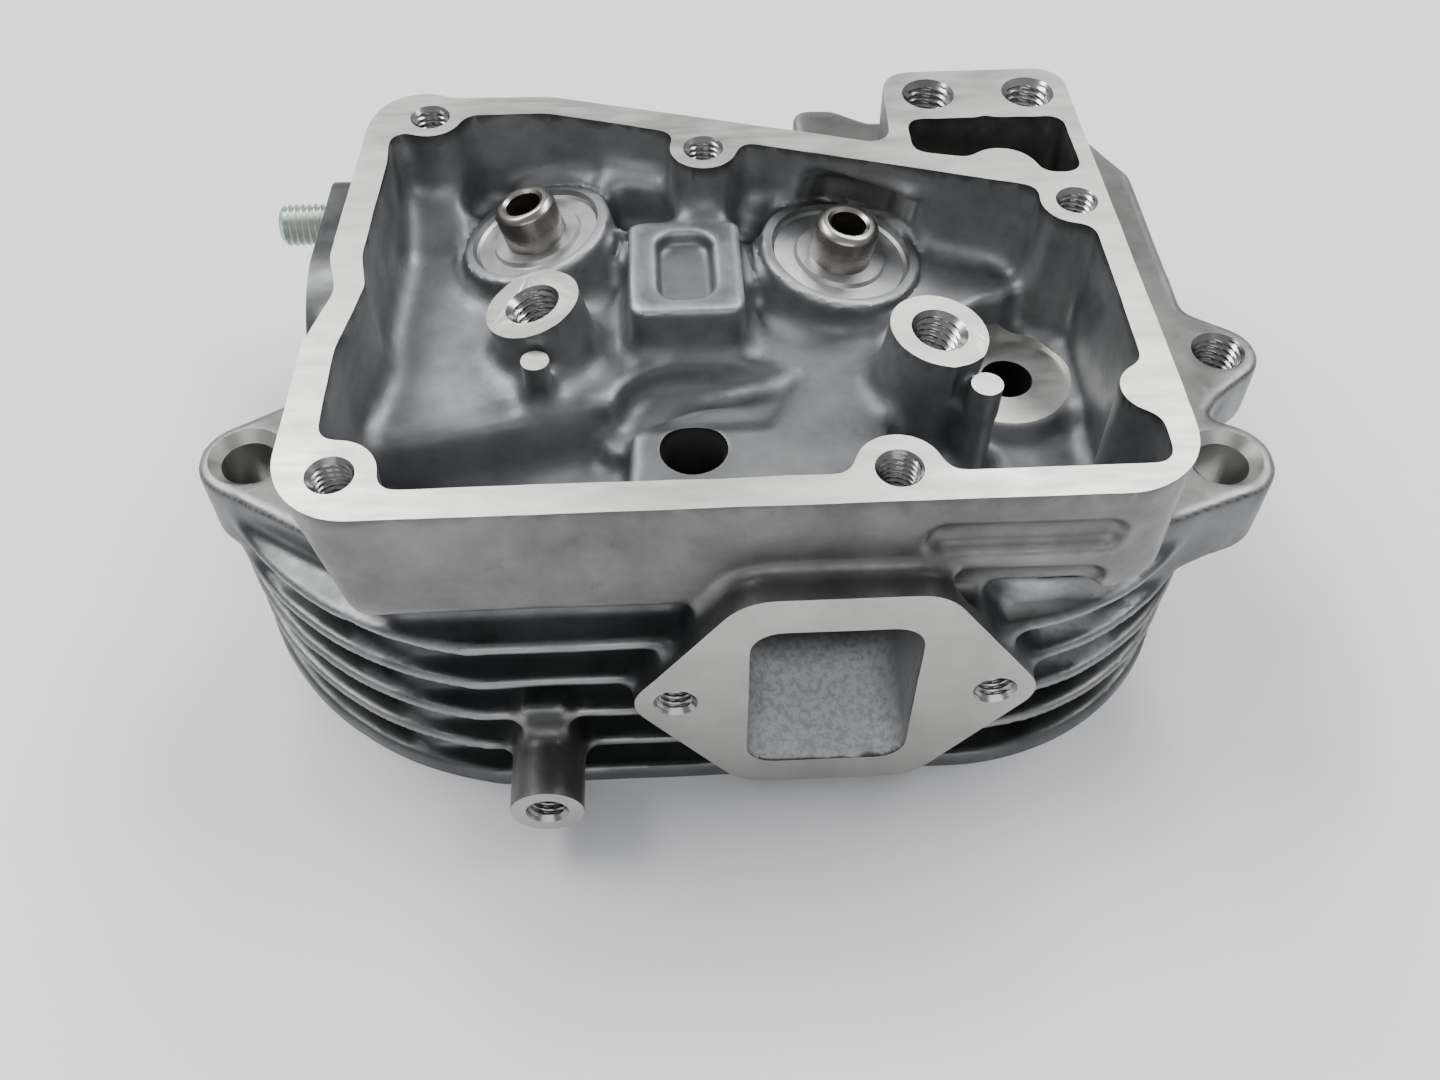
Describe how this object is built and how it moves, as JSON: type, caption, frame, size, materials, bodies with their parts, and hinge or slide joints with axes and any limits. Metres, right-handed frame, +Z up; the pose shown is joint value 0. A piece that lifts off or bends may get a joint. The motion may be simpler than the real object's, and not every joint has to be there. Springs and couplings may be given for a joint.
{
  "type": "cylinder head",
  "caption": "Bare air-cooled overhead-valve cylinder head: rocker box with machined rim above a finned casting, intake flange in front, exhaust flange and studs at the side.",
  "frame": {"origin": "where the cylinder bore axis meets the gasket face", "axes": "+X away from the exhaust side, +Y away from the intake side, +Z up along the bore axis to the rocker cover face"},
  "size_m": [0.1728, 0.1343, 0.066],
  "materials": {
    "cast_aluminium": "as cast, with milled faces",
    "guide_steel": "ground, grey brown",
    "seat_steel": "ground",
    "zinc_plated_steel": "zinc plated, slightly green"
  },
  "bodies": {
    "root": {"head_casting": "cast_aluminium", "intake_valve_guide": "guide_steel", "exhaust_valve_guide": "guide_steel", "intake_valve_seat": "seat_steel", "exhaust_valve_seat": "seat_steel", "exhaust_stud_rear": "zinc_plated_steel", "exhaust_stud_front": "zinc_plated_steel"}
  },
  "joints": []
}
